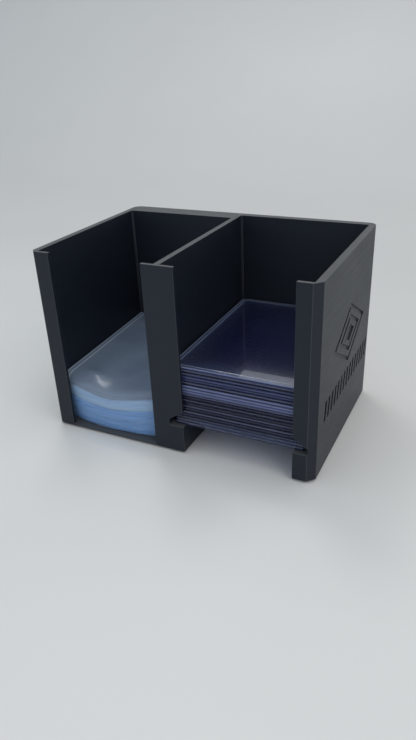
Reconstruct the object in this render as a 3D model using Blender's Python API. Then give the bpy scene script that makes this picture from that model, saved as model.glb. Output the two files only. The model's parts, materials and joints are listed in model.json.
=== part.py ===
"""Two-bay desktop dispenser for trading-card supplies, with its contents.

A one-piece printed housing holds soft card sleeves in its left bay and rigid
clear card holders in its right bay. The holders rest on two side ledges over an
open finger channel, and the lowest one slides out through a slot in the lips.

Metres, +Z up. Origin: centre of the footprint, on the surface it stands on.
+X is to the right and -Y is the open front.
"""
import math

import bmesh
import bpy
from mathutils import Vector

MM = 0.001

# Driving dimensions of the housing
BODY_WIDTH = 162.0 * MM
BODY_DEPTH = 110.4 * MM
BODY_HEIGHT = 109.0 * MM
SIDE_WALL = 3.8 * MM
DIVIDER = 3.3 * MM
LEFT_BAY_WIDTH = 71.8 * MM
LEFT_BACK_WALL = 12.4 * MM
RIGHT_BACK_WALL = 4.8 * MM
LIP_THICKNESS = 2.0 * MM
LEFT_BAY_LIP = 7.8 * MM
LEFT_BAY_DIVIDER_LIP = 6.6 * MM
RIGHT_BAY_DIVIDER_LIP = 8.6 * MM
RIGHT_BAY_LIP = 8.0 * MM
FLOOR_THICKNESS = 2.2 * MM
LEDGE_HEIGHT = 17.5 * MM
REAR_LEDGE_DEPTH = 13.6 * MM
FRONT_RIGHT_CHAMFER = 4.0 * MM
FRONT_LEFT_CHAMFER = 2.4 * MM
BACK_CORNER_RADIUS = 5.0 * MM
BACK_CORNER_STEPS = 6
BASE_CHAMFER = 1.5 * MM
BAY_CORNER_CHAMFER = 0.8 * MM

# Dispensing slot, cut through the right bay's two lips at ledge height
SLOT_END_HEIGHT = 3.6 * MM
SLOT_INNER_HEIGHT = 9.5 * MM

# Engraved pattern on the right side: nested lozenges over a strip of slanted bars
ENGRAVING_DEPTH = 0.9 * MM
LOZENGE_CENTRE = (3.3 * MM, 62.0 * MM)
LOZENGE_HALF_SIZES = ((31.5 * MM, 17.0 * MM), (20.0 * MM, 10.8 * MM))
LOZENGE_LINE = 2.2 * MM
LOZENGE_CORE = (9.0 * MM, 4.9 * MM)
BAR_COUNT = 15
BAR_PITCH = 6.0 * MM
BAR_WIDTH = 3.0 * MM
BAR_HEIGHT = 11.4 * MM
BAR_BASE = 29.4 * MM
BAR_SLANT = 2.4 * MM

# Rigid card holders, nominal 3 by 4 inches
INCH = 25.4 * MM
GOLDEN_ANGLE = math.pi * (3.0 - math.sqrt(5.0))
HOLDER_WIDTH = 3.0 * INCH
HOLDER_LENGTH = 4.0 * INCH
HOLDER_THICKNESS = 1.5 * MM
HOLDER_PITCH = 1.8 * MM
HOLDER_COUNT = 20
HOLDER_CORNER_RADIUS = 3.4 * MM
HOLDER_CORNER_STEPS = 5
HOLDER_SCATTER_X = 0.45 * MM
HOLDER_SCATTER_Y = 0.30 * MM
HOLDER_SCATTER_TURN = math.radians(0.12)

# Soft sleeves, one stack split into bundles with a single loose sleeve on top
SLEEVE_STACK_WIDTH = 67.4 * MM
SLEEVE_SIDE_GAP = 0.5 * MM
SLEEVE_BACK_GAP = 1.2 * MM
SLEEVE_FRONT_TOP = 1.0 * MM
SLEEVE_FRONT_FOOT = 3.6 * MM
SLEEVE_FRONT_SWEEP = 4.5 * MM
SLEEVE_EDGE_HEIGHT_FRONT = 33.2 * MM
SLEEVE_EDGE_HEIGHT_BACK = 38.0 * MM
SLEEVE_SAG = 5.2 * MM
SLEEVE_SAG_POWER = 1.15
SLEEVE_SAG_FADE = 0.6
SLEEVE_NOSE_DROP = 3.0 * MM
SLEEVE_NOSE_LENGTH = 6.0 * MM
SLEEVE_LEVELS = (0.0, 0.34, 0.68, 0.97, 1.0)
SLEEVE_NODES = ("sleeve_bundle_lower", "sleeve_bundle_middle", "sleeve_bundle_upper", "top_sleeve")
SLEEVE_STEPS_X = 16
SLEEVE_STEPS_Y = 14
SLEEVE_FRONT_CROWDING = 1.6

GAP = 0.3 * MM
OVERCUT = 1.0 * MM

# Places that follow from the driving dimensions
LEFT = -BODY_WIDTH / 2
RIGHT = BODY_WIDTH / 2
FRONT = -BODY_DEPTH / 2
BACK = BODY_DEPTH / 2
LEFT_BAY_X0 = LEFT + SIDE_WALL
LEFT_BAY_X1 = LEFT_BAY_X0 + LEFT_BAY_WIDTH
RIGHT_BAY_X0 = LEFT_BAY_X1 + DIVIDER
RIGHT_BAY_X1 = RIGHT - SIDE_WALL
LIP_BACK = FRONT + LIP_THICKNESS
LEFT_BAY_BACK = BACK - LEFT_BACK_WALL
RIGHT_BAY_BACK = BACK - RIGHT_BACK_WALL
CHANNEL_X0 = RIGHT_BAY_X0 + RIGHT_BAY_DIVIDER_LIP
CHANNEL_X1 = RIGHT_BAY_X1 - RIGHT_BAY_LIP
CHANNEL_BACK = RIGHT_BAY_BACK - REAR_LEDGE_DEPTH


def clear_scene():
    """Start from an empty file, whatever is open."""
    for obj in list(bpy.data.objects):
        bpy.data.objects.remove(obj, do_unlink=True)


def make_material(name, colour, roughness, alpha=1.0):
    """A plain Principled material; colour is linear RGB."""
    material = bpy.data.materials.new(name)
    material.use_nodes = True
    shader = material.node_tree.nodes["Principled BSDF"]
    shader.inputs["Base Color"].default_value = (*colour, 1.0)
    shader.inputs["Roughness"].default_value = roughness
    shader.inputs["Metallic"].default_value = 0.0
    shader.inputs["Alpha"].default_value = alpha
    return material


def make_mesh(name, build, material=None):
    """Turn a bmesh into a mesh with its faces pointing out."""
    bmesh.ops.recalc_face_normals(build, faces=build.faces)
    mesh = bpy.data.meshes.new(name)
    build.to_mesh(mesh)
    build.free()
    if material is not None:
        mesh.materials.append(material)
    return mesh


def add_object(name, mesh):
    """Put a mesh in the scene as a named object."""
    obj = bpy.data.objects.new(name, mesh)
    bpy.context.scene.collection.objects.link(obj)
    return obj


def loft(rings, build=None):
    """Closed solid through rings of equal length, flat at both ends."""
    build = build or bmesh.new()
    loops = [[build.verts.new(point) for point in ring] for ring in rings]
    build.faces.new(loops[0])
    build.faces.new(loops[-1])
    for low, high in zip(loops, loops[1:]):
        for i in range(len(low)):
            j = (i + 1) % len(low)
            build.faces.new((low[i], low[j], high[j], high[i]))
    return build


def upright(outline, z0, z1):
    """Prism along Z over a plan outline of (x, y) points."""
    return loft([[(x, y, z) for x, y in outline] for z in (z0, z1)])


def frame_prism(outer, inner, x0, x1):
    """Prism along X of the band between two outlines of (y, z) points."""
    build = bmesh.new()
    rings = [[build.verts.new((x, y, z)) for y, z in outline]
             for x in (x0, x1) for outline in (outer, inner)]
    for first, second in ((0, 1), (1, 3), (3, 2), (2, 0)):
        for i in range(len(outer)):
            j = (i + 1) % len(outer)
            a, b = rings[first], rings[second]
            build.faces.new((a[i], a[j], b[j], b[i]))
    return build


def rectangle(x0, y0, x1, y1, corner=0.0):
    """Plan outline of a rectangle; its two back corners may be chamfered."""
    points = [(x0, y0), (x1, y0)]
    if corner:
        points += [(x1, y1 - corner), (x1 - corner, y1), (x0 + corner, y1), (x0, y1 - corner)]
    else:
        points += [(x1, y1), (x0, y1)]
    return points


def arc(centre, radius, start, end, steps):
    """Points along a circular arc, in degrees, both ends included."""
    angles = [math.radians(start + (end - start) * i / steps) for i in range(steps + 1)]
    return [(centre[0] + radius * math.cos(a), centre[1] + radius * math.sin(a)) for a in angles]


def rounded_rectangle(half_x, half_y, radius, steps):
    """Outline about the origin with four round corners."""
    points = []
    for quarter, (sx, sy) in enumerate(((1, 1), (-1, 1), (-1, -1), (1, -1))):
        centre = (sx * (half_x - radius), sy * (half_y - radius))
        points += arc(centre, radius, 90 * quarter, 90 * quarter + 90, steps)
    return points


def body_outline(inset=0.0):
    """Plan of the housing: chamfers at the front, round corners at the back."""
    left, right = LEFT + inset, RIGHT - inset
    front, back = FRONT + inset, BACK - inset
    radius = BACK_CORNER_RADIUS - inset
    tuck = inset * (2.0 - math.sqrt(2.0))
    cut_left = FRONT_LEFT_CHAMFER - tuck
    cut_right = FRONT_RIGHT_CHAMFER - tuck
    points = [(left, front + cut_left), (left + cut_left, front)]
    points += [(right - cut_right, front), (right, front + cut_right)]
    points += arc((right - radius, back - radius), radius, 0, 90, BACK_CORNER_STEPS)
    points += arc((left + radius, back - radius), radius, 90, 180, BACK_CORNER_STEPS)
    return points


def add_cutter(name, build):
    """Solid that is only there to be subtracted."""
    cutter = add_object(name, make_mesh(name, build))
    cutter.hide_render = True
    cutter.display_type = "WIRE"
    return cutter


def cut(target, cutter):
    """Subtract a cutter from the target."""
    modifier = target.modifiers.new(cutter.name, "BOOLEAN")
    modifier.operation = "DIFFERENCE"
    modifier.solver = "EXACT"
    modifier.object = cutter


def bay_cutters():
    """The two bays, open at the top, and the window between each pair of lips."""
    top = BODY_HEIGHT + OVERCUT
    left_bay = rectangle(LEFT_BAY_X0, LIP_BACK, LEFT_BAY_X1, LEFT_BAY_BACK, BAY_CORNER_CHAMFER)
    right_bay = rectangle(RIGHT_BAY_X0, LIP_BACK, RIGHT_BAY_X1, RIGHT_BAY_BACK, BAY_CORNER_CHAMFER)
    left_window = rectangle(LEFT_BAY_X0 + LEFT_BAY_LIP, FRONT - OVERCUT,
                            LEFT_BAY_X1 - LEFT_BAY_DIVIDER_LIP, LIP_BACK + OVERCUT)
    right_window = rectangle(CHANNEL_X0, FRONT - OVERCUT, CHANNEL_X1, LIP_BACK + OVERCUT)
    return [add_cutter("left_bay_cutter", upright(left_bay, FLOOR_THICKNESS, top)),
            add_cutter("right_bay_cutter", upright(right_bay, LEDGE_HEIGHT, top)),
            add_cutter("left_window_cutter", upright(left_window, FLOOR_THICKNESS, top)),
            add_cutter("right_window_cutter", upright(right_window, LEDGE_HEIGHT - OVERCUT, top))]


def channel_cutter():
    """Finger channel under the holders, open to the front and to the table below."""
    levels = ((-OVERCUT, BASE_CHAMFER + OVERCUT), (BASE_CHAMFER, 0.0), (LEDGE_HEIGHT + OVERCUT, 0.0))
    rings = []
    for z, flare in levels:
        outline = rectangle(CHANNEL_X0 - flare, FRONT - OVERCUT - flare,
                            CHANNEL_X1 + flare, CHANNEL_BACK + flare, BASE_CHAMFER)
        rings.append([(x, y, z) for x, y in outline])
    return add_cutter("channel_cutter", loft(rings))


def slot_cutter():
    """Slot as wide as the bay whose roof rises towards the window."""
    floor, low, high = LEDGE_HEIGHT, LEDGE_HEIGHT + SLOT_END_HEIGHT, LEDGE_HEIGHT + SLOT_INNER_HEIGHT
    profile = [(RIGHT_BAY_X0, floor), (RIGHT_BAY_X1, floor), (RIGHT_BAY_X1, low),
               (CHANNEL_X1, high), (CHANNEL_X0, high), (RIGHT_BAY_X0, low)]
    rings = [[(x, y, z) for x, z in profile] for y in (FRONT - OVERCUT, LIP_BACK + OVERCUT)]
    return add_cutter("slot_cutter", loft(rings))


def lozenge(half_y, half_z):
    """Diamond outline of (y, z) points about the engraving's centre."""
    y, z = LOZENGE_CENTRE
    return [(y + half_y, z), (y, z + half_z), (y - half_y, z), (y, z - half_z)]


def engraving_cutters():
    """Shallow pattern cut into the right side."""
    x0, x1 = RIGHT - ENGRAVING_DEPTH, RIGHT + OVERCUT
    cutters = []
    for number, (half_y, half_z) in enumerate(LOZENGE_HALF_SIZES, 1):
        slope = math.hypot(half_y, half_z)
        step_y, step_z = LOZENGE_LINE * slope / half_z, LOZENGE_LINE * slope / half_y
        ring = frame_prism(lozenge(half_y, half_z), lozenge(half_y - step_y, half_z - step_z), x0, x1)
        cutters.append(add_cutter(f"lozenge_cutter_{number}", ring))
    core = loft([[(x, y, z) for y, z in lozenge(*LOZENGE_CORE)] for x in (x0, x1)])
    cutters.append(add_cutter("lozenge_core_cutter", core))
    cutters.append(add_cutter("bar_cutter", slanted_bars(x0, x1)))
    return cutters


def slanted_bars(x0, x1):
    """Row of separate slanted bars, centred under the lozenges."""
    bars = bmesh.new()
    for i in range(BAR_COUNT):
        y = LOZENGE_CENTRE[0] + (i - (BAR_COUNT - 1) / 2) * BAR_PITCH - BAR_WIDTH / 2
        foot, head = y - BAR_SLANT / 2, y + BAR_SLANT / 2
        outline = [(foot, BAR_BASE), (foot + BAR_WIDTH, BAR_BASE),
                   (head + BAR_WIDTH, BAR_BASE + BAR_HEIGHT), (head, BAR_BASE + BAR_HEIGHT)]
        loft([[(x, py, pz) for py, pz in outline] for x in (x0, x1)], bars)
    return bars


def build_housing(material):
    """Outer block with a chamfered foot, less everything that is open."""
    foot = [(x, y, 0.0) for x, y in body_outline(BASE_CHAMFER)]
    shoulder = [(x, y, BASE_CHAMFER) for x, y in body_outline()]
    rim = [(x, y, BODY_HEIGHT) for x, y in body_outline()]
    housing = add_object("housing", make_mesh("housing", loft([foot, shoulder, rim]), material))
    for cutter in bay_cutters() + [channel_cutter(), slot_cutter()] + engraving_cutters():
        cut(housing, cutter)


def scatter(number, phase):
    """Repeatable value from -1 to 1 that differs from one holder to the next."""
    return math.sin(number * GOLDEN_ANGLE + phase) * math.cos(number + 2.0 * phase)


def build_holders(material):
    """Stack of rigid card holders on the ledges, each a plate with round corners."""
    outline = rounded_rectangle(HOLDER_WIDTH / 2, HOLDER_LENGTH / 2,
                                HOLDER_CORNER_RADIUS, HOLDER_CORNER_STEPS)
    centre_x = RIGHT_BAY_X0 + HOLDER_WIDTH / 2 + 2 * GAP + HOLDER_SCATTER_X
    centre_y = LIP_BACK + HOLDER_LENGTH / 2 + 2 * GAP + HOLDER_SCATTER_Y
    plate = make_mesh("card_holder", upright(outline, 0.0, HOLDER_THICKNESS), material)
    for number in range(1, HOLDER_COUNT + 1):
        holder = add_object(f"card_holder_{number:02d}", plate)
        holder.location = (centre_x + HOLDER_SCATTER_X * scatter(number, 0.3),
                           centre_y + HOLDER_SCATTER_Y * scatter(number, 1.7),
                           LEDGE_HEIGHT + GAP + (number - 1) * HOLDER_PITCH)
        holder.rotation_euler = (0.0, 0.0, HOLDER_SCATTER_TURN * scatter(number, 2.9))


def sleeve_point(across, along, level):
    """Point in the sleeve stack; across is -1 to 1, along and level are 0 to 1.

    The front edges sweep forward in the middle and draw back towards the floor,
    the stack sags between its welded side seams, and the free front ends droop.
    """
    x = LEFT_BAY_X0 + SLEEVE_SIDE_GAP + SLEEVE_STACK_WIDTH * (across + 1) / 2
    tuck = (SLEEVE_FRONT_FOOT - SLEEVE_FRONT_TOP) * (1 - level) ** 2
    front = FRONT + SLEEVE_FRONT_TOP + tuck + SLEEVE_FRONT_SWEEP * across * across
    back = LEFT_BAY_BACK - SLEEVE_BACK_GAP
    y = front + (back - front) * along
    edge = SLEEVE_EDGE_HEIGHT_FRONT + (SLEEVE_EDGE_HEIGHT_BACK - SLEEVE_EDGE_HEIGHT_FRONT) * along
    sag = SLEEVE_SAG * (1 - abs(across) ** SLEEVE_SAG_POWER) * (1 - SLEEVE_SAG_FADE * along)
    nose = max(0.0, 1 - (y - front) / SLEEVE_NOSE_LENGTH)
    top = edge - sag - SLEEVE_NOSE_DROP * nose * nose
    base = FLOOR_THICKNESS + GAP
    return Vector((x, y, base + (top - base) * level))


def sleeve_bundle(low, high):
    """Closed solid between two levels of the stack, on a grid of points."""
    build = bmesh.new()
    layers = []
    for level, lift in ((low, 0.0), (high, -GAP)):
        rows = []
        for j in range(SLEEVE_STEPS_Y + 1):
            along = (j / SLEEVE_STEPS_Y) ** SLEEVE_FRONT_CROWDING
            rows.append([])
            for i in range(SLEEVE_STEPS_X + 1):
                point = sleeve_point(2.0 * i / SLEEVE_STEPS_X - 1.0, along, level)
                rows[-1].append(build.verts.new(point + Vector((0.0, 0.0, lift))))
        layers.append(rows)
    for rows in layers:
        for j in range(SLEEVE_STEPS_Y):
            for i in range(SLEEVE_STEPS_X):
                build.faces.new((rows[j][i], rows[j][i + 1], rows[j + 1][i + 1], rows[j + 1][i]))
    rims = [rows[0] + [row[-1] for row in rows[1:]] + rows[-1][-2::-1] + [row[0] for row in rows[-2:0:-1]]
            for rows in layers]
    for i in range(len(rims[0])):
        j = (i + 1) % len(rims[0])
        build.faces.new((rims[0][i], rims[0][j], rims[1][j], rims[1][i]))
    return build


def build_sleeves(material):
    """The bundles from the floor up, with the loose sleeve last."""
    for name, low, high in zip(SLEEVE_NODES, SLEEVE_LEVELS, SLEEVE_LEVELS[1:]):
        add_object(name, make_mesh(name, sleeve_bundle(low, high), material))


def main():
    clear_scene()
    build_housing(make_material("printed_plastic", (0.024, 0.030, 0.037), 0.55))
    build_holders(make_material("clear_rigid_plastic", (0.42, 0.45, 0.62), 0.12, 0.35))
    build_sleeves(make_material("soft_film", (0.20, 0.36, 0.60), 0.25, 0.8))


main()
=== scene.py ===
"""Looks of the two-bay dispenser: the printed housing, the rigid clear card
holders and the soft film sleeves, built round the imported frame.

Metres, +Z up, in the frame's own axes: +X is to the right, -Y is the open front.
"""
import itertools
import json
import math

import bmesh
import bpy
from mathutils import Matrix, Vector, noise


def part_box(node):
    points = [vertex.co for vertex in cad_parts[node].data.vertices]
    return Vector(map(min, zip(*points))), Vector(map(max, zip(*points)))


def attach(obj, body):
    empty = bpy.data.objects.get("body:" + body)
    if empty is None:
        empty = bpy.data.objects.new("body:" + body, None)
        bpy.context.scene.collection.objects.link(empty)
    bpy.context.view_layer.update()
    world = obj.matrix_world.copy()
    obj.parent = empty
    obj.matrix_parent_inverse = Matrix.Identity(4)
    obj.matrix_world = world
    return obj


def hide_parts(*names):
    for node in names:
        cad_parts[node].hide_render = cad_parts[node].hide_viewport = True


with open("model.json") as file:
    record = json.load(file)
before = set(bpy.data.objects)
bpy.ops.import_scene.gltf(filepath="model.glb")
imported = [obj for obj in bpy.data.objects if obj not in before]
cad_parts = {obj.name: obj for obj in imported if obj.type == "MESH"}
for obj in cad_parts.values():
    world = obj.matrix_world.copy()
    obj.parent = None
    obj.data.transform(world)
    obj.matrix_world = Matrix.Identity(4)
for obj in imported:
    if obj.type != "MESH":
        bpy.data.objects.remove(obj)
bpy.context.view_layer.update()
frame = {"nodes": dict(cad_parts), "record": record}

MM = 0.001
HOLDER_NODES = [f"card_holder_{number:02d}" for number in range(1, 21)]
BUNDLE_NODES = ["sleeve_bundle_lower", "sleeve_bundle_middle", "sleeve_bundle_upper"]
BODY_OF = {part: body for body, parts in frame["record"]["behaviour"]["bodies"].items() for part in parts}

# Housing; the engraving is known by its depth, its margin above and below, and its reach in Y
MERGE_DISTANCE = 0.001 * MM
SAME_PLANE = 0.01 * MM
FLAT_ANGLE = math.radians(0.5)
ROUNDED_ANGLE = math.radians(28.0)
EDGE_ROUND = 0.3 * MM
EDGE_SEGMENTS = 3
# The rounding slot carries a painted highlight on the rounded edges, the engraving slot painted shade
ROUNDING_HIGHLIGHT_SLOT, ENGRAVING_SHADE_SLOT = 1, 2
HOUSING_SMOOTH = 30.0
ENGRAVING_DEPTH = 0.9 * MM
ENGRAVING_MARGIN = 12.0 * MM
ENGRAVING_REACH = 50.0 * MM
LAYER_HEIGHT = 0.2 * MM
LINE_WIDTH = 0.42 * MM

# Rigid holders, nominally 3 by 4 inches: two sheets welded along both long sides and one short end
HOLDER_WIDTH = 76.2 * MM
HOLDER_LENGTH = 101.6 * MM
CORNER_RADIUS = 3.4 * MM
SMALLEST_RADIUS = 0.6 * MM
CORNER_STEPS = 8
SHEET_THICKNESS = 0.5 * MM
WELD_WIDTH = 2.2 * MM
BRIGHT_WIDTH = 0.8 * MM
GROOVE_WIDTH = 0.7 * MM
GROOVE_DEPTH = 0.12 * MM
EDGE_EASE = 0.12 * MM
EDGE_FADE = 0.3 * MM
POCKET_RELIEF = 0.35 * MM
POCKET_FLARE = 3.0 * MM
POCKET_OVERRUN = 1.0 * MM
EDGE_SLOT, FACE_SLOT, WELD_SLOT, UNDER_SLOT = 1, 2, 3, 4
HOLDER_SMOOTH = 8.0

# The stack of holders, counted from 1 at the bottom: those turned end for end, each one's edge
# among the edge materials, lit and shaded copies that paint light and shade on the rims,
# and the lean of the uppermost, whose back end lies a little high
TURNED_HOLDERS = (8, 12, 13, 14, 17)
EDGE_TONES = (0, 0, 0, 1, 4, 1, 4, 1, 1, 1, 4, 3, 3, 3, 4, 2, 2, 2, 4, 3)
TOP_LEAN = math.radians(0.62)

# Soft sleeves: the shape of their stack, where a level is a share of its height from 0 to 1
STACK_LOW, STACK_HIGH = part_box(BUNDLE_NODES[0])
STACK_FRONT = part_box("top_sleeve")[0].y
STACK_SWEEP = 4.5 * MM
STACK_TUCK = 2.6 * MM
EDGE_HEIGHT_FRONT = 33.2 * MM
EDGE_HEIGHT_BACK = 38.0 * MM
STACK_SAG = 5.2 * MM
SAG_POWER = 1.05
SAG_CREASE = 0.10
SAG_FADE = 0.6
NOSE_DROP = 3.0 * MM
NOSE_LENGTH = 6.0 * MM
STACK_BASE = 2.5 * MM
LOOSE_LEVEL = 0.97
BUNDLE_LEVELS = (0.0, 0.34, 0.68, LOOSE_LEVEL)
BUNDLE_GAP = 0.002
BUNDLE_STEPS = (40, 30)
BUNDLE_CROWDING = 1.5
FILM_PITCH = 0.30 * MM
FILM_STRAY = 0.35 * MM
FILM_THICKNESS = 0.14 * MM
LAYER_ENDS = (0.06, 0.94)
BUNDLE_SMOOTH = 50.0

# Loose sleeve: two films; places across are -1 to 1, places along are 0 to 1
LOOSE_STEPS = (72, 60)
LOOSE_CROWDING = 1.6
LOOSE_GAP = 0.05 * MM
SEAM_BANDS = ((0.893, 0.918), (0.975, 1.0))
BEAD_PLACES = (0.905, 0.985)
BEAD_WIDTH = 0.010
BEAD_HEIGHT = 0.28 * MM
PUFF_HEIGHT = 0.30 * MM
RIPPLE_HEIGHT = 0.10 * MM
BULGE_HEIGHT = 2.0 * MM
BULGE_PLACE = (-0.50, 0.118)
BULGE_SPREAD = (0.27, 0.062)
LOOSE_SMOOTH = 60.0

# Patterns in the materials, in features per metre; three numbers give one for each axis.
# Scuffs run along a holder, and streaks, bands and hairlines run level
STREAKS = (6.0, 6.0, 900.0)
GRAIN = 2600.0
PATCHES = 45.0
SCUFFS = (900.0, 40.0, 900.0)
HAZE = 60.0
SHEET_RIPPLE = 35.0
EDGE_DRIFT = 55.0
FILM_BANDS = (4.0, 4.0, 420.0)
FILM_HAIRLINES = (14.0, 14.0, 5200.0)
FILM_RIPPLE = 42.0
FILM_CLOUD = 30.0
FLOOR_MOTTLE = 9.0

# Optics; the index and coat of a holder's top face stand for the many surfaces under it,
# and its painted light from below grows between these distances from its centre
SHEET_IOR = 1.5
STACK_IOR = 1.9
STACK_COAT_IOR = 1.8
FILM_IOR = 1.49
LIT_ACROSS = (20.0 * MM, 38.0 * MM)
LIT_ALONG = (34.0 * MM, 50.0 * MM)

# Stage, in metres: a flat floor that sweeps up into a backdrop, with painted shade making it a little
# darker towards the back
FLOOR_FRONT = -3.0
SWEEP_START = 0.55
SWEEP_RADIUS = 0.45
SWEEP_STEPS = 24
BACKDROP_TOP = 2.2
STAGE_HALF_WIDTH = 3.0
STAGE_COLOUR = (0.72, 0.72, 0.71)
STAGE_ROUGHNESS = 0.48
MOTTLE_SHARE = 0.96
BACKDROP_SHADE_SHARE = 0.86
BACKDROP_SHADE_FADE = 0.30

# Light: the room's colour and strength, then each lamp's name, place, size, watts and colour
ROOM_COLOUR = (0.82, 0.91, 1.0, 1.0)
ROOM_STRENGTH = 0.72
LAMPS = (
    ("key", (1.35, -0.7, 1.0), 1.1, 6.8, (1.0, 0.90, 0.78)),
    ("overhead", (0.3, 0.1, 1.7), 1.2, 4.6, (1.0, 0.95, 0.88)),
    ("window", (-0.54, 0.6, 1.41), 0.42, 3.4, (1.0, 0.98, 0.96)),
)
LAMP_AIM = Vector((0.0, 0.0, 0.05))

# Camera, fitted to the photograph's view of the housing: places in metres, the azimuth,
# elevation and roll in degrees, the sensor and focal length in the millimetres Blender expects
EYE_PLACE = (0.1527, -0.3105, 0.2035)
NEAREST = 0.01
VIEW_ANGLES = (26.87, 27.21, 2.59)
SENSOR_WIDTH = 36.0
FOCAL_LENGTH = 30.66


# ---------------------------------------------------------------- node helpers

def new_material(name):
    """Material with only a Principled shader and its output, not metallic."""
    material = bpy.data.materials.new(name)
    material.use_nodes = True
    tree = material.node_tree
    shader = tree.nodes["Principled BSDF"]
    shader.inputs["Metallic"].default_value = 0.0
    return material, tree, shader


def node(tree, kind, **settings):
    """Add a node and set its properties."""
    made = tree.nodes.new(kind)
    for key, value in settings.items():
        setattr(made, key, value)
    return made


def math_node(tree, operation, *values):
    """Math node whose inputs are numbers or sockets; returns its output."""
    made = node(tree, "ShaderNodeMath", operation=operation)
    for socket, value in zip(made.inputs, values):
        if isinstance(value, (int, float)):
            socket.default_value = value
        else:
            tree.links.new(value, socket)
    return made.outputs[0]


def coordinates(tree, scale=(1.0, 1.0, 1.0)):
    """The piece's own coordinates in metres, stretched axis by axis."""
    source = node(tree, "ShaderNodeTexCoord")
    mapping = node(tree, "ShaderNodeMapping")
    mapping.inputs["Scale"].default_value = scale
    tree.links.new(source.outputs["Object"], mapping.inputs["Vector"])
    return mapping.outputs["Vector"]


def noise_texture(tree, vector, scale, detail=2.0, roughness=0.5):
    """Noise from 0 to 1; scale is in features per metre."""
    made = node(tree, "ShaderNodeTexNoise")
    made.inputs["Scale"].default_value = scale
    made.inputs["Detail"].default_value = detail
    made.inputs["Roughness"].default_value = roughness
    tree.links.new(vector, made.inputs["Vector"])
    return made.outputs["Fac"]


def weigh(tree, first, second, share):
    """Weighted sum of two values; share is the first one's."""
    return math_node(tree, "ADD", math_node(tree, "MULTIPLY", first, share),
                     math_node(tree, "MULTIPLY", second, 1.0 - share))


def split(tree, vector):
    """The outputs X, Y and Z of a vector."""
    made = node(tree, "ShaderNodeSeparateXYZ")
    tree.links.new(vector, made.inputs[0])
    return made.outputs


def remap(tree, value, low, high, to_low=0.0, to_high=1.0):
    """Map a range of values onto another, clamped."""
    made = node(tree, "ShaderNodeMapRange")
    for socket, number in zip(list(made.inputs)[1:5], (low, high, to_low, to_high)):
        socket.default_value = number
    tree.links.new(value, made.inputs[0])
    return made.outputs[0]


def blend_colours(tree, factor, first, second):
    """Mix two colours, each a tuple or a socket."""
    made = node(tree, "ShaderNodeMix", data_type="RGBA")
    tree.links.new(factor, made.inputs[0])
    for socket, colour in ((made.inputs[6], first), (made.inputs[7], second)):
        if isinstance(colour, tuple):
            socket.default_value = (*colour, 1.0)
        else:
            tree.links.new(colour, socket)
    return made.outputs[2]


def bump(tree, height, distance, strength=1.0, under=None):
    """Bump from a height from 0 to 1, over an optional coarser normal."""
    made = node(tree, "ShaderNodeBump")
    made.inputs["Strength"].default_value = strength
    made.inputs["Distance"].default_value = distance
    tree.links.new(height, made.inputs["Height"])
    if under is not None:
        tree.links.new(under, made.inputs["Normal"])
    return made.outputs["Normal"]


# ------------------------------------------------------------------- materials

def printed_plastic(name, low, high, top):
    """Matt charcoal filament: 0.2 mm layers on the sides, extruded lines on top.

    low and high are the two tones that the sides wander between, top is the tone
    of level faces, painted paler mostly for the light that falls on them from above and partly for scuffs.
    """
    material, tree, shader = new_material(name)
    point = split(tree, coordinates(tree))
    facing = split(tree, node(tree, "ShaderNodeTexCoord").outputs["Normal"])
    level = remap(tree, math_node(tree, "ABSOLUTE", facing["Z"]), 0.6, 0.8)

    layer_phase = math_node(tree, "MULTIPLY", point["Z"], math.pi / LAYER_HEIGHT)
    layers = math_node(tree, "ABSOLUTE", math_node(tree, "SINE", layer_phase))
    across = math_node(tree, "ADD", point["X"], point["Y"])
    line_phase = math_node(tree, "MULTIPLY", across, math.pi / (LINE_WIDTH * math.sqrt(2.0)))
    lines = math_node(tree, "ABSOLUTE", math_node(tree, "SINE", line_phase))
    mix = node(tree, "ShaderNodeMix")
    tree.links.new(level, mix.inputs[0])
    tree.links.new(layers, mix.inputs[2])
    tree.links.new(lines, mix.inputs[3])
    ribs = mix.outputs[0]

    streaks = noise_texture(tree, coordinates(tree, STREAKS), 1.0, detail=3.0, roughness=0.6)
    grain = noise_texture(tree, coordinates(tree), GRAIN, detail=2.0, roughness=0.6)
    patches = noise_texture(tree, coordinates(tree), PATCHES, detail=3.0, roughness=0.55)

    tone = weigh(tree, streaks, patches, 0.6)
    colour = blend_colours(tree, remap(tree, tone, 0.3, 0.7), low, high)
    # painted light: level faces take the paler top tone
    colour = blend_colours(tree, level, colour, top)
    # painted shade: the grooves between layers and between lines are darkened
    groove = remap(tree, ribs, 0.0, 0.35, 0.78, 1.0)
    shaded = node(tree, "ShaderNodeMix", data_type="RGBA", blend_type="MULTIPLY")
    shaded.inputs[0].default_value = 1.0
    tree.links.new(colour, shaded.inputs[6])
    tree.links.new(groove, shaded.inputs[7])
    tree.links.new(shaded.outputs[2], shader.inputs["Base Color"])
    tree.links.new(remap(tree, tone, 0.25, 0.75, 0.38, 0.50), shader.inputs["Roughness"])
    shader.inputs["Specular IOR Level"].default_value = 0.36
    shader.inputs["Specular Tint"].default_value = (0.88, 0.95, 1.0, 1.0)

    coarse = bump(tree, streaks, 0.05 * MM, strength=0.6)
    fine = bump(tree, grain, 0.02 * MM, strength=0.5, under=coarse)
    tree.links.new(bump(tree, ribs, 0.03 * MM, strength=0.8, under=fine), shader.inputs["Normal"])
    return material


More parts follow.
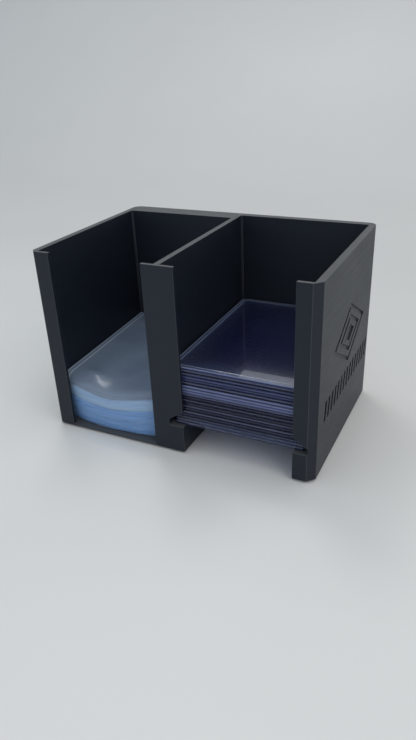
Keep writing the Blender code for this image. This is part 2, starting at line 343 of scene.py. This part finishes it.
def clear_plastic(name, tint_low, tint_high, transmission):
    """Clear rigid sheet with hairline scuffs and a slight ripple."""
    material, tree, shader = new_material(name)
    haze = noise_texture(tree, coordinates(tree), HAZE, detail=4.0, roughness=0.6)
    scuffs = noise_texture(tree, coordinates(tree, SCUFFS), 1.0, detail=3.0, roughness=0.7)
    colour = blend_colours(tree, remap(tree, haze, 0.3, 0.7), tint_low, tint_high)
    tree.links.new(colour, shader.inputs["Base Color"])
    tree.links.new(remap(tree, scuffs, 0.45, 0.8, 0.02, 0.10), shader.inputs["Roughness"])
    shader.inputs["IOR"].default_value = SHEET_IOR
    shader.inputs["Transmission Weight"].default_value = transmission
    ripple = noise_texture(tree, coordinates(tree), SHEET_RIPPLE, detail=1.0, roughness=0.4)
    tree.links.new(bump(tree, ripple, 0.10 * MM, strength=0.15), shader.inputs["Normal"])
    return material


def holder_face(name, deep, glow):
    """Top face of a holder: painted dark navy for the shaded stack under it, with painted light showing
    through near its rim.
    """
    material, tree, shader = new_material(name)
    point = split(tree, coordinates(tree))
    beside = remap(tree, math_node(tree, "ABSOLUTE", point["X"]), *LIT_ACROSS)
    behind = remap(tree, math_node(tree, "ABSOLUTE", point["Y"]), *LIT_ALONG)
    rim = math_node(tree, "POWER", math_node(tree, "MAXIMUM", beside, behind), 2.0)
    haze = noise_texture(tree, coordinates(tree), HAZE, detail=4.0, roughness=0.6)
    # painted light from below, paler towards the rim
    lit = math_node(tree, "MULTIPLY", rim, remap(tree, haze, 0.3, 0.7, 0.8, 1.0))
    tree.links.new(blend_colours(tree, lit, deep, glow), shader.inputs["Base Color"])
    scuffs = noise_texture(tree, coordinates(tree, SCUFFS), 1.0, detail=3.0, roughness=0.7)
    tree.links.new(remap(tree, scuffs, 0.45, 0.8, 0.14, 0.22), shader.inputs["Roughness"])
    shader.inputs["IOR"].default_value = STACK_IOR
    shader.inputs["Transmission Weight"].default_value = 0.9
    shader.inputs["Coat Weight"].default_value = 1.0
    shader.inputs["Coat Roughness"].default_value = 0.02
    shader.inputs["Coat IOR"].default_value = STACK_COAT_IOR
    ripple = noise_texture(tree, coordinates(tree), SHEET_RIPPLE, detail=1.0, roughness=0.4)
    tree.links.new(bump(tree, ripple, 0.05 * MM, strength=0.1), shader.inputs["Normal"])
    return material


def holder_edge(name, deep, pale, transmission):
    """Cut rims of the holders: the upper sheet catches the light, the lower one is in shade."""
    material, tree, shader = new_material(name)
    upper = remap(tree, split(tree, coordinates(tree))["Z"], -EDGE_FADE / 2, EDGE_FADE / 2)
    drift = noise_texture(tree, coordinates(tree, (1.0, 1.0, 0.0)), EDGE_DRIFT, detail=2.0, roughness=0.5)
    share = math_node(tree, "MULTIPLY", upper, remap(tree, drift, 0.35, 0.65, 0.75, 1.0))
    tree.links.new(blend_colours(tree, share, deep, pale), shader.inputs["Base Color"])
    tree.links.new(remap(tree, drift, 0.3, 0.7, 0.12, 0.22), shader.inputs["Roughness"])
    shader.inputs["IOR"].default_value = SHEET_IOR
    shader.inputs["Specular IOR Level"].default_value = 0.2
    shader.inputs["Transmission Weight"].default_value = transmission
    tree.links.new(bump(tree, drift, 0.02 * MM, strength=0.2), shader.inputs["Normal"])
    return material


def film_edges(name, deep, pale):
    """Edges of many soft films lying together, milky and bluish."""
    material, tree, shader = new_material(name)
    bands = noise_texture(tree, coordinates(tree, FILM_BANDS), 1.0, detail=4.0, roughness=0.7)
    hairlines = noise_texture(tree, coordinates(tree, FILM_HAIRLINES), 1.0, detail=2.0, roughness=0.6)
    tone = weigh(tree, bands, hairlines, 0.7)
    colour = blend_colours(tree, remap(tree, tone, 0.35, 0.65), deep, pale)
    tree.links.new(colour, shader.inputs["Base Color"])
    tree.links.new(remap(tree, hairlines, 0.3, 0.7, 0.22, 0.42), shader.inputs["Roughness"])
    shader.inputs["Subsurface Weight"].default_value = 0.5
    shader.inputs["Subsurface Radius"].default_value = (0.4, 0.7, 1.0)
    shader.inputs["Subsurface Scale"].default_value = 4.0 * MM
    tree.links.new(bump(tree, hairlines, 0.04 * MM, strength=0.5), shader.inputs["Normal"])
    return material


def film_clear(name, tint_low, tint_high, transmission):
    """Soft clear film, glossy with a slow ripple."""
    material, tree, shader = new_material(name)
    ripple = noise_texture(tree, coordinates(tree, (1.0, 0.5, 1.0)), FILM_RIPPLE, detail=2.0, roughness=0.5)
    cloud = noise_texture(tree, coordinates(tree), FILM_CLOUD, detail=3.0, roughness=0.5)
    colour = blend_colours(tree, remap(tree, cloud, 0.3, 0.7), tint_low, tint_high)
    tree.links.new(colour, shader.inputs["Base Color"])
    tree.links.new(remap(tree, cloud, 0.3, 0.7, 0.13, 0.22), shader.inputs["Roughness"])
    shader.inputs["IOR"].default_value = FILM_IOR
    shader.inputs["Transmission Weight"].default_value = transmission
    tree.links.new(bump(tree, ripple, 0.6 * MM, strength=0.35), shader.inputs["Normal"])
    return material


def stage_material(name, colour, roughness):
    """Plain pale surface of the stage, faintly mottled, with painted shade making it a little darker behind
    the object.
    """
    material, tree, shader = new_material(name)
    mottle = noise_texture(tree, coordinates(tree), FLOOR_MOTTLE, detail=2.0, roughness=0.5)
    tones = []
    for share in (1.0, BACKDROP_SHADE_SHARE):
        pale = tuple(share * value for value in colour)
        dark = tuple(MOTTLE_SHARE * value for value in pale)
        tones.append(blend_colours(tree, mottle, dark, pale))
    # painted shade: darker from the object's middle towards the back
    far = remap(tree, split(tree, coordinates(tree))["Y"], 0.0, BACKDROP_SHADE_FADE)
    tree.links.new(blend_colours(tree, far, *tones), shader.inputs["Base Color"])
    shader.inputs["Roughness"].default_value = roughness
    return material


# --------------------------------------------------------------------- meshes

def mesh_from(name, build, materials):
    """Mesh of a closed bmesh, its faces turned outwards, with its materials."""
    mesh = bpy.data.meshes.new(name)
    bmesh.ops.recalc_face_normals(build, faces=build.faces)
    build.to_mesh(mesh)
    build.free()
    for material in materials:
        mesh.materials.append(material)
    return mesh


def place_mesh(name, mesh, body, smooth_angle, location=(0.0, 0.0, 0.0), turns=(0.0, 0.0, 0.0)):
    """Put a mesh in the scene as a piece that rides on a body."""
    mesh.shade_smooth()
    mesh.set_sharp_from_angle(angle=math.radians(smooth_angle))
    piece = bpy.data.objects.new(name, mesh)
    piece.location = location
    piece.rotation_euler = turns
    bpy.context.scene.collection.objects.link(piece)
    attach(piece, body)
    return piece


def refill_side(build, x):
    """Fill the flat face at x again around its engraving, with fewer and better triangles."""
    flat = [face for face in build.faces if min(vert.co.x for vert in face.verts) > x - SAME_PLANE]
    inner = {line for face in flat for line in face.edges
             if all(other in flat for other in line.link_faces)}
    border = [line for face in flat for line in face.edges if line not in inner]
    bmesh.ops.delete(build, geom=flat, context="FACES_ONLY")
    bmesh.ops.delete(build, geom=list(inner), context="EDGES")
    bmesh.ops.triangle_fill(build, use_beauty=True, use_dissolve=False, edges=border,
                            normal=(1.0, 0.0, 0.0))


def housing_shell(side, edge, engraved):
    """The housing with every edge slightly rounded, as a nozzle lays it."""
    build = bmesh.new()
    build.from_mesh(frame["nodes"]["housing"].data)
    bmesh.ops.remove_doubles(build, verts=build.verts, dist=MERGE_DISTANCE)
    right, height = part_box("housing")[1].x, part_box("housing")[1].z
    plain = [line for line in build.edges if min(vert.co.x for vert in line.verts) < right - SAME_PLANE]
    bmesh.ops.dissolve_limit(build, angle_limit=FLAT_ANGLE, verts=build.verts, edges=plain)
    refill_side(build, right)
    bmesh.ops.recalc_face_normals(build, faces=build.faces)
    for face in build.faces:
        middle = face.calc_center_median()
        sunk = right - ENGRAVING_DEPTH - SAME_PLANE < middle.x < right - SAME_PLANE
        inside = ENGRAVING_MARGIN < middle.z < height - ENGRAVING_MARGIN and abs(middle.y) < ENGRAVING_REACH
        # faces sunk in the engraving are painted near black, partly as the shade in the recess and partly
        # as its rougher floor
        face.material_index = ENGRAVING_SHADE_SLOT if sunk and inside else 0
    weights = build.edges.layers.float.new("bevel_weight_edge")
    for line in build.edges:
        in_side = all(vert.co.x > right - SAME_PLANE for face in line.link_faces for vert in face.verts)
        turned = line.is_manifold and line.calc_face_angle(0.0) > ROUNDED_ANGLE
        line[weights] = 1.0 if turned and not in_side else 0.0
    mesh = mesh_from("housing_shell", build, [side, edge, engraved])
    piece = place_mesh("housing_shell", mesh, BODY_OF["housing"], HOUSING_SMOOTH)
    rounding = piece.modifiers.new("edge_rounding", "BEVEL")
    rounding.width = EDGE_ROUND
    rounding.segments = EDGE_SEGMENTS
    rounding.limit_method = "WEIGHT"
    rounding.loop_slide = False
    # the rounded edges take the paler edge material, a painted highlight along every rounded edge
    rounding.material = ROUNDING_HIGHLIGHT_SLOT
    flatten = piece.modifiers.new("flat_faces", "WEIGHTED_NORMAL")
    flatten.mode = "FACE_AREA"
    flatten.weight = 100
    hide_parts("housing")


def rounded_outline(half_x, half_y, radius):
    """Plan outline about the origin with four round corners."""
    points = []
    for quarter, (sx, sy) in enumerate(((1, 1), (-1, 1), (-1, -1), (1, -1))):
        for step in range(CORNER_STEPS + 1):
            angle = math.radians(90.0 * (quarter + step / CORNER_STEPS))
            points.append((sx * (half_x - radius) + radius * math.cos(angle),
                           sy * (half_y - radius) + radius * math.sin(angle)))
    return points


def ring_solid(rings):
    """Closed solid through equal rings, flat at both ends; returns it with its side faces."""
    build = bmesh.new()
    loops = [[build.verts.new(point) for point in ring] for ring in rings]
    build.faces.new(loops[0])
    build.faces.new(loops[-1])
    bands = []
    for low, high in zip(loops, loops[1:]):
        bands.append([build.faces.new((low[i], low[i - 1], high[i - 1], high[i])) for i in range(len(low))])
    return build, bands


def plate_solid(width, length, thickness):
    """Holder about its own centre, still without its pocket: eased rim and weld groove."""
    def ring(inset, z):
        radius = max(CORNER_RADIUS - inset, SMALLEST_RADIUS)
        return [(x, y, z) for x, y in rounded_outline(width / 2 - inset, length / 2 - inset, radius)]

    groove = WELD_WIDTH + GROOVE_WIDTH / 2
    top = thickness / 2
    profile = [(WELD_WIDTH + GROOVE_WIDTH, top), (groove, top - GROOVE_DEPTH), (WELD_WIDTH, top),
               (BRIGHT_WIDTH, top), (EDGE_EASE, top), (0.0, top - EDGE_EASE)]
    levels = [(inset, -z) for inset, z in profile] + [(inset, z) for inset, z in reversed(profile)]
    build, bands = ring_solid([ring(inset, z) for inset, z in levels])
    # Four bands lie below and four above the rim's three; those above are a bright line,
    # painted as a highlight along the rim, the weld's flat top and the two sides of the groove
    rim, bright_line, weld_top, groove_sides = bands[4:-4], bands[-4:-3], bands[-3:-2], bands[-2:]
    for slot, group in ((EDGE_SLOT, rim), (FACE_SLOT, weld_top), (WELD_SLOT, bright_line + groove_sides)):
        for face in itertools.chain(*group):
            face.material_index = slot
    build.faces.ensure_lookup_table()
    build.faces[0].material_index = UNDER_SLOT
    build.faces[1].material_index = FACE_SLOT
    return build


def pocket_solid(width, length, thickness):
    """Space between a holder's two sheets, flared at its open front end and past it."""
    gap = thickness / 2 - SHEET_THICKNESS
    side = width / 2 - WELD_WIDTH - GROOVE_WIDTH
    back = length / 2 - WELD_WIDTH - GROOVE_WIDTH
    front = -length / 2 - POCKET_OVERRUN
    outline = [(-side - POCKET_RELIEF, front), (side + POCKET_RELIEF, front),
               (side, front + POCKET_FLARE), (side, back), (-side, back), (-side, front + POCKET_FLARE)]
    build, _ = ring_solid([[(x, y, z) for x, y in outline] for z in (-gap, gap)])
    return build


def holder_mesh(width, length, thickness, materials):
    """Holder about its own centre, with its pocket cut out."""
    spares = []
    for name, shape in (("holder_plate", plate_solid), ("pocket_cutter", pocket_solid)):
        mesh = mesh_from(name, shape(width, length, thickness), materials)
        spares.append(bpy.data.objects.new(name, mesh))
        bpy.context.scene.collection.objects.link(spares[-1])
    plate, cutter = spares
    cut = plate.modifiers.new("pocket", "BOOLEAN")
    cut.operation = "DIFFERENCE"
    cut.solver = "EXACT"
    cut.object = cutter
    evaluated = plate.evaluated_get(bpy.context.evaluated_depsgraph_get())
    made = bpy.data.meshes.new_from_object(evaluated)
    made.name = "card_holder"
    for spare in spares:
        bpy.data.objects.remove(spare)
    return made


def card_holders(clear, face, weld, under, edges):
    """Twenty holders, each in the place of its node; a few lie the other way round."""
    low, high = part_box(HOLDER_NODES[0])
    thickness = high.z - low.z
    meshes = [holder_mesh(HOLDER_WIDTH, HOLDER_LENGTH, thickness, (clear, edges[0], face, weld, clear))]
    for edge in edges[1:]:
        meshes.append(meshes[0].copy())
        meshes[-1].materials[EDGE_SLOT] = edge
    # painted light: the lowest holder's underside is tinted deep blue, standing for the blue light that
    # comes through the stack onto the table
    lowest = meshes[EDGE_TONES[0]].copy()
    lowest.materials[UNDER_SLOT] = under
    for number, name in enumerate(HOLDER_NODES, 1):
        low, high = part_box(name)
        turn = math.pi if number in TURNED_HOLDERS else 0.0
        lean = TOP_LEAN if number == len(HOLDER_NODES) else 0.0
        place = (low + high) / 2 + Vector((0.0, 0.0, math.sin(lean) * HOLDER_LENGTH / 2))
        mesh = lowest if number == 1 else meshes[EDGE_TONES[number - 1]]
        piece = place_mesh(f"clear_holder_{number:02d}", mesh, BODY_OF[name], HOLDER_SMOOTH, place,
                           (lean, 0.0, turn))
        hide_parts(name)


def stack_point(across, along, level):
    """Point in the stack of sleeves; across is -1 to 1, along and level are 0 to 1."""
    x = (STACK_LOW.x + STACK_HIGH.x) / 2 + (STACK_HIGH.x - STACK_LOW.x) / 2 * across
    front = STACK_FRONT + STACK_TUCK * (1 - level) ** 2 + STACK_SWEEP * across * across
    y = front + (STACK_HIGH.y - front) * along
    edge = EDGE_HEIGHT_FRONT + (EDGE_HEIGHT_BACK - EDGE_HEIGHT_FRONT) * along
    bend = (math.hypot(across, SAG_CREASE) - SAG_CREASE) / (math.hypot(1.0, SAG_CREASE) - SAG_CREASE)
    sag = STACK_SAG * (1 - bend ** SAG_POWER) * (1 - SAG_FADE * along)
    nose = max(0.0, 1 - (y - front) / NOSE_LENGTH)
    top = edge - sag - NOSE_DROP * nose * nose
    return Vector((x, y, STACK_BASE + (top - STACK_BASE) * level))


def layer_profile(low, high, phase):
    """Levels of a bundle with each film's own stray, as (level, stray in x, stray in y, film's number)."""
    tall = EDGE_HEIGHT_FRONT - STACK_BASE
    count = max(2, round((high - low) * tall / FILM_PITCH))
    rings = []
    for i in range(count):
        stray_x = 0.5 + 0.5 * noise.noise(Vector((3.7 * i, phase, 0.0)))
        stray_y = 0.5 + 0.5 * noise.noise(Vector((1.9 * i, phase + 7.0, 3.0)))
        for end in LAYER_ENDS:
            rings.append((low + (high - low) * (i + end) / count, stray_x, stray_y, i))
    return rings


def stack_rim():
    """Places (across, along) once round the stack, from its front left corner."""
    across_steps, along_steps = BUNDLE_STEPS
    rim = [(-1 + 2 * i / across_steps, 0.0) for i in range(across_steps)]
    rim += [(1.0, (j / along_steps) ** BUNDLE_CROWDING) for j in range(along_steps)]
    rim += [(1 - 2 * i / across_steps, 1.0) for i in range(across_steps)]
    rim += [(-1.0, (1 - j / along_steps) ** BUNDLE_CROWDING) for j in range(along_steps)]
    return rim


def film_loop(build, level, stray_x, stray_y, layer, phase):
    """Vertices round one film, drawn in from the stack's sides by its stray and wander."""
    loop = []
    for across, along in stack_rim():
        point = stack_point(across, along, level)
        wander = 0.5 + 0.5 * noise.noise(Vector((2.2 * across, 3.0 * along, 1.3 * layer + phase)))
        inward_x = FILM_STRAY * (0.5 * stray_x + 0.5 * wander)
        inward_y = FILM_STRAY * (0.5 * stray_y + 0.5 * wander)
        point.x -= math.copysign(inward_x, across) * min(1.0, abs(across) * 4.0)
        point.y += inward_y * (1 - 2 * along)
        loop.append(build.verts.new(point))
    return loop


def fill_level(build, loop, level):
    """Close one end of a bundle with a grid of faces that follows the sag."""
    across_steps, along_steps = BUNDLE_STEPS
    grid = [[None] * (across_steps + 1) for _ in range(along_steps + 1)]
    for i in range(across_steps + 1):
        grid[0][i] = loop[i]
        grid[along_steps][across_steps - i] = loop[across_steps + along_steps + i]
    for j in range(along_steps + 1):
        grid[j][across_steps] = loop[across_steps + j]
        grid[j][0] = loop[-j]
    for j in range(1, along_steps):
        for i in range(1, across_steps):
            along = (j / along_steps) ** BUNDLE_CROWDING
            grid[j][i] = build.verts.new(stack_point(-1 + 2 * i / across_steps, along, level))
    for j in range(along_steps):
        for i in range(across_steps):
            quad = (grid[j][i], grid[j][i + 1], grid[j + 1][i + 1], grid[j + 1][i])
            build.faces.new(quad).material_index = 1


def sleeve_bundle(name, node_name, low, high, edges, face):
    """Closed bundle whose sides show its films, each with its own stray and wander."""
    build = bmesh.new()
    phase = 10.0 * low
    loops = [film_loop(build, *film_level, phase) for film_level in layer_profile(low, high, phase)]
    for under, over in zip(loops, loops[1:]):
        for i in range(len(under)):
            build.faces.new((under[i - 1], under[i], over[i], over[i - 1]))
    fill_level(build, loops[0], low)
    fill_level(build, loops[-1], high)
    mesh = mesh_from(name, build, [edges, face or edges])
    piece = place_mesh(name, mesh, BODY_OF[node_name], BUNDLE_SMOOTH)
    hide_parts(node_name)


def film(name, height, front, material, seam, body):
    """Thin closed film over the stack; height(across, along) is its top, front(across) its mouth."""
    across_steps, along_steps = LOOSE_STEPS
    build = bmesh.new()
    layers = []
    for lift in (0.0, -FILM_THICKNESS):
        rows = []
        for j in range(along_steps + 1):
            rows.append([])
            for i in range(across_steps + 1):
                across = math.sin(math.radians(90.0 * (2 * i / across_steps - 1)))
                start = front(across)
                along = start + (1 - start) * (j / along_steps) ** LOOSE_CROWDING
                rows[-1].append(build.verts.new(height(across, along) + Vector((0, 0, lift))))
        layers.append(rows)
    for rows in layers:
        for j in range(along_steps):
            for i in range(across_steps):
                quad = build.faces.new((rows[j][i], rows[j][i + 1], rows[j + 1][i + 1], rows[j + 1][i]))
                place = abs(math.sin(math.radians(90.0 * ((2 * i + 1) / across_steps - 1))))
                quad.material_index = int(any(low < place < high for low, high in SEAM_BANDS))
    upper, lower = (rows[0] + [row[-1] for row in rows[1:]] + rows[-1][-2::-1]
                    + [row[0] for row in rows[-2:0:-1]] for rows in layers)
    for i in range(len(upper)):
        build.faces.new((upper[i - 1], upper[i], lower[i], lower[i - 1]))
    piece = place_mesh(name, mesh_from(name, build, [material, seam]), body, LOOSE_SMOOTH)
    return piece


def loose_sleeve(material, seam):
    """The clear sleeve on top: two films that meet at the sides and back, mouth to the front."""
    def lower(across, along):
        point = stack_point(across, along, LOOSE_LEVEL)
        point.z += LOOSE_GAP + FILM_THICKNESS
        return point

    def upper(across, along):
        point = lower(across, along)
        side = 1 - abs(across) ** 8
        puff = PUFF_HEIGHT * side * (1 - along ** 10) * min(1.0, 0.25 + 4.0 * along)
        bulge = BULGE_HEIGHT * math.exp(-((across - BULGE_PLACE[0]) / BULGE_SPREAD[0]) ** 2
                                        - ((along - BULGE_PLACE[1]) / BULGE_SPREAD[1]) ** 2)
        bead = BEAD_HEIGHT * sum(math.exp(-((abs(across) - place) / BEAD_WIDTH) ** 2)
                                 for place in BEAD_PLACES)
        ripple = RIPPLE_HEIGHT * noise.noise(Vector((2.0 * across, 4.0 * along, 5.0))) * side
        point.z += FILM_THICKNESS + LOOSE_GAP + puff + bulge + bead + ripple
        return point

    def mouth(across):
        set_back = 0.010 + 0.006 * math.cos(3.0 * across)
        return set_back * (1 - math.exp(-((across + 1.0) / 0.45) ** 2))

    body = BODY_OF["top_sleeve"]
    under = film("loose_sleeve_lower_film", lower, lambda across: 0.0, material, seam, body)
    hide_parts("top_sleeve")
    film("loose_sleeve_upper_film", upper, mouth, material, seam, body)


def soft_sleeves(deep, pale, face, loose, seam):
    """Three bundles of film with the loose sleeve lying on them."""
    names = ("sleeve_films_lower", "sleeve_films_middle", "sleeve_films_upper")
    edges = (deep, deep, pale)
    caps = (None, None, face)
    for name, node_name, low, high, edge, cap in zip(names, BUNDLE_NODES, BUNDLE_LEVELS, BUNDLE_LEVELS[1:],
                                                     edges, caps):
        sleeve_bundle(name, node_name, low, high - BUNDLE_GAP, edge, cap)
    loose_sleeve(loose, seam)


# ----------------------------------------------------------------------- stage

def sweep_outline():
    """The stage's section, as (y, z): floor, quarter-round sweep, backdrop."""
    outline = [(FLOOR_FRONT, 0.0), (SWEEP_START, 0.0)]
    for step in range(1, SWEEP_STEPS + 1):
        angle = math.radians(90.0 * step / SWEEP_STEPS)
        outline.append((SWEEP_START + SWEEP_RADIUS * math.sin(angle), SWEEP_RADIUS * (1 - math.cos(angle))))
    outline.append((SWEEP_START + SWEEP_RADIUS, BACKDROP_TOP))
    return outline


def studio():
    """Pale satin floor with a sweep behind, an evenly lit room and the lamps."""
    build = bmesh.new()
    rows = [[build.verts.new((x, y, z)) for y, z in sweep_outline()]
            for x in (-STAGE_HALF_WIDTH, STAGE_HALF_WIDTH)]
    for i in range(len(rows[0]) - 1):
        build.faces.new((rows[0][i], rows[1][i], rows[1][i + 1], rows[0][i + 1]))
    mesh = bpy.data.meshes.new("floor")
    build.to_mesh(mesh)
    build.free()
    mesh.materials.append(stage_material("pale_table", STAGE_COLOUR, STAGE_ROUGHNESS))
    mesh.shade_smooth()
    floor = bpy.data.objects.new("floor", mesh)
    bpy.context.scene.collection.objects.link(floor)

    world = bpy.data.worlds.new("room")
    world.use_nodes = True
    background = world.node_tree.nodes["Background"]
    background.inputs["Color"].default_value = ROOM_COLOUR
    background.inputs["Strength"].default_value = ROOM_STRENGTH
    bpy.context.scene.world = world
    for lamp in LAMPS:
        area_light(*lamp)


def area_light(name, place, size, power, colour):
    """Square soft light aimed at the middle of the object."""
    light = bpy.data.lights.new(name, "AREA")
    light.shape = "SQUARE"
    light.size = size
    light.energy = power
    light.color = colour
    lamp = bpy.data.objects.new(name, light)
    lamp.location = place
    aim = LAMP_AIM - Vector(place)
    lamp.rotation_euler = aim.to_track_quat("-Z", "Y").to_euler()
    bpy.context.scene.collection.objects.link(lamp)


def camera():
    """Close, slightly rolled view from the right and above."""
    azimuth, elevation, roll = (math.radians(angle) for angle in VIEW_ANGLES)
    back = Vector((math.sin(azimuth) * math.cos(elevation),
                   -math.cos(azimuth) * math.cos(elevation), math.sin(elevation)))
    level_right = Vector((math.cos(azimuth), math.sin(azimuth), 0.0))
    level_up = back.cross(level_right)
    right = math.cos(roll) * level_right - math.sin(roll) * level_up
    up = math.sin(roll) * level_right + math.cos(roll) * level_up
    data = bpy.data.cameras.new("camera")
    data.sensor_width = SENSOR_WIDTH
    data.lens = FOCAL_LENGTH
    data.clip_start = NEAREST
    eye = bpy.data.objects.new("camera", data)
    turn = Matrix((right, up, back)).transposed().to_4x4()
    eye.matrix_world = Matrix.Translation(EYE_PLACE) @ turn
    bpy.context.scene.collection.objects.link(eye)
    bpy.context.scene.camera = eye


camera()
studio()
bpy.context.scene.view_settings.view_transform = "Standard"
housing_shell(
    side=printed_plastic("printed_plastic", low=(0.0060, 0.0092, 0.0160), high=(0.0085, 0.0122, 0.0205),
                         top=(0.074, 0.077, 0.083)),
    # edge: a paler copy of the side material, a painted highlight on the rounded edges
    edge=printed_plastic("printed_edge_highlight", low=(0.042, 0.047, 0.055), high=(0.056, 0.061, 0.069),
                         top=(0.100, 0.103, 0.110)),
    # engraved: near black, partly painted shade in the recess and partly its rougher floor
    engraved=printed_plastic("engraved_shaded_plastic", low=(0.0020, 0.0022, 0.0028),
                             high=(0.0030, 0.0033, 0.0040), top=(0.0030, 0.0033, 0.0040)))
card_holders(
    clear=clear_plastic("holder_sheet", (0.72, 0.79, 0.98), (0.80, 0.86, 1.0), transmission=0.985),
    face=holder_face("holder_face", deep=(0.06, 0.075, 0.33), glow=(0.30, 0.40, 0.80)),
    weld=holder_edge("holder_weld", (0.20, 0.24, 0.42), (0.36, 0.41, 0.58), transmission=0.55),
    # under: painted blue light under the stack
    under=clear_plastic("holder_under_blue_light", (0.36, 0.44, 0.92), (0.44, 0.52, 0.96), transmission=0.45),
    # edge materials: lit and shaded copies, painted light and shade on the rims
    edges=[holder_edge("holder_edge_clear", (0.10, 0.12, 0.28), (0.42, 0.48, 0.80), transmission=0.84),
           holder_edge("holder_edge_dark", (0.004, 0.004, 0.015), (0.034, 0.036, 0.085), transmission=0.30),
           holder_edge("holder_edge_navy", (0.016, 0.020, 0.075), (0.092, 0.110, 0.260), transmission=0.30),
           holder_edge("holder_edge_pale", (0.070, 0.085, 0.190), (0.210, 0.250, 0.470), transmission=0.30),
           holder_edge("holder_edge_mid", (0.010, 0.010, 0.040), (0.125, 0.135, 0.240), transmission=0.30)])
soft_sleeves(
    deep=film_edges("film_edges_deep", (0.15, 0.28, 0.54), (0.21, 0.37, 0.65)),
    pale=film_edges("film_edges_pale", (0.25, 0.38, 0.58), (0.35, 0.49, 0.69)),
    face=film_clear("film_face", (0.19, 0.27, 0.40), (0.26, 0.34, 0.47), transmission=0.25),
    loose=film_clear("film_loose", (0.25, 0.33, 0.47), (0.35, 0.44, 0.58), transmission=0.55),
    seam=film_clear("film_seam", (0.36, 0.42, 0.54), (0.44, 0.50, 0.62), transmission=0.30))
